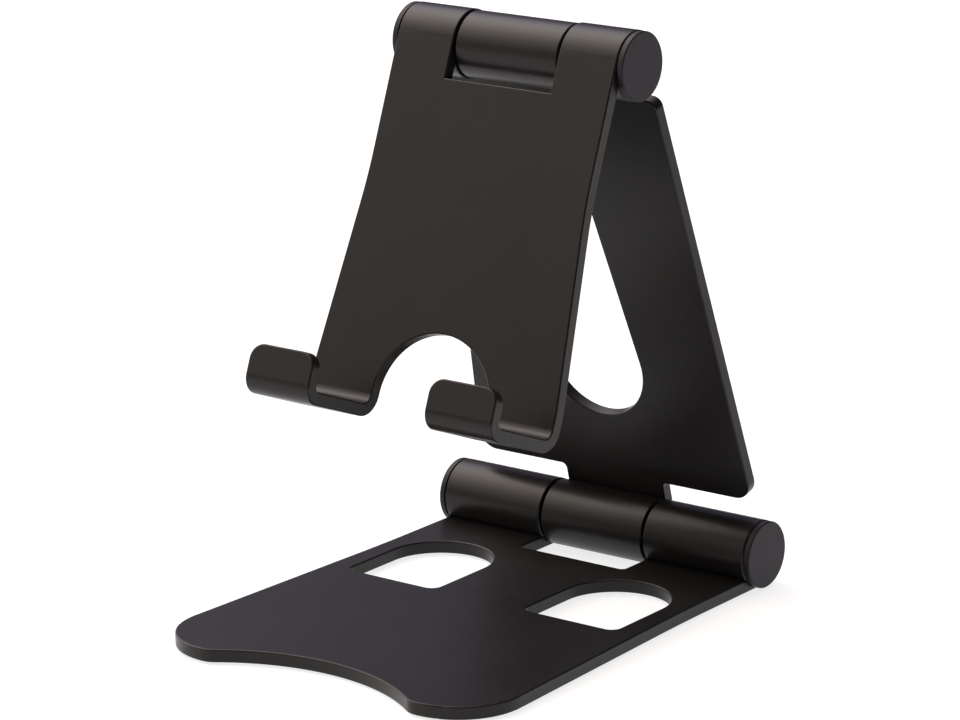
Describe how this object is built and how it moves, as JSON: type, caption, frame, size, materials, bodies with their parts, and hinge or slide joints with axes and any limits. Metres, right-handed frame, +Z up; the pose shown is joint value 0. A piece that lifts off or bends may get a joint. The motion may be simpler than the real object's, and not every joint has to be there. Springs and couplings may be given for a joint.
{
  "type": "phone stand",
  "caption": "Folding aluminium desk stand for a phone: flat base with windows, leaning arm and a tilting holder with hooks, joined by friction hinges.",
  "frame": {"origin": "on the table top under the centre of the object's bounding box", "axes": "+X along both hinges, to the right of a user looking at the phone; -Y towards that user; +Z up"},
  "size_m": [0.0748, 0.1002, 0.1109],
  "materials": {
    "black_anodised": "satin",
    "cap_plastic": "matte",
    "nylon": "matte",
    "hinge_steel": "zinc plated",
    "foot_rubber": "matte"
  },
  "bodies": {
    "base": {"base_plate": "black_anodised", "foot_front_left": "foot_rubber", "foot_front_right": "foot_rubber", "foot_rear_left": "foot_rubber", "foot_rear_right": "foot_rubber", "base_hinge_pin": "hinge_steel", "base_hinge_lock_nut": "hinge_steel", "base_hinge_plain_washers": "hinge_steel", "base_hinge_disc_springs": "hinge_steel", "base_hinge_friction_washer_left": "nylon", "base_hinge_friction_washer_right": "nylon", "base_hinge_end_cap_left": "cap_plastic", "base_hinge_end_cap_right": "cap_plastic"},
    "arm": {"arm_plate": "black_anodised", "base_hinge_bushes": "nylon", "holder_hinge_bushes": "nylon"},
    "holder": {"holder_plate": "black_anodised", "holder_hinge_pin": "hinge_steel", "holder_hinge_lock_nut": "hinge_steel", "holder_hinge_plain_washers": "hinge_steel", "holder_hinge_disc_springs": "hinge_steel", "holder_hinge_friction_washer_left": "nylon", "holder_hinge_friction_washer_right": "nylon", "holder_hinge_end_cap_left": "cap_plastic", "holder_hinge_end_cap_right": "cap_plastic"}
  },
  "joints": [
    {"name": "base_hinge", "type": "hinge", "parent": "base", "child": "arm", "pos_m": [0, 0.04365, 0.00695], "axis": [1, 0, 0], "range_deg": [-104, 28]},
    {"name": "holder_hinge", "type": "hinge", "parent": "arm", "child": "holder", "pos_m": [0, 0.01714, 0.10431], "axis": [1, 0, 0], "range_deg": [-244, 42]}
  ]
}
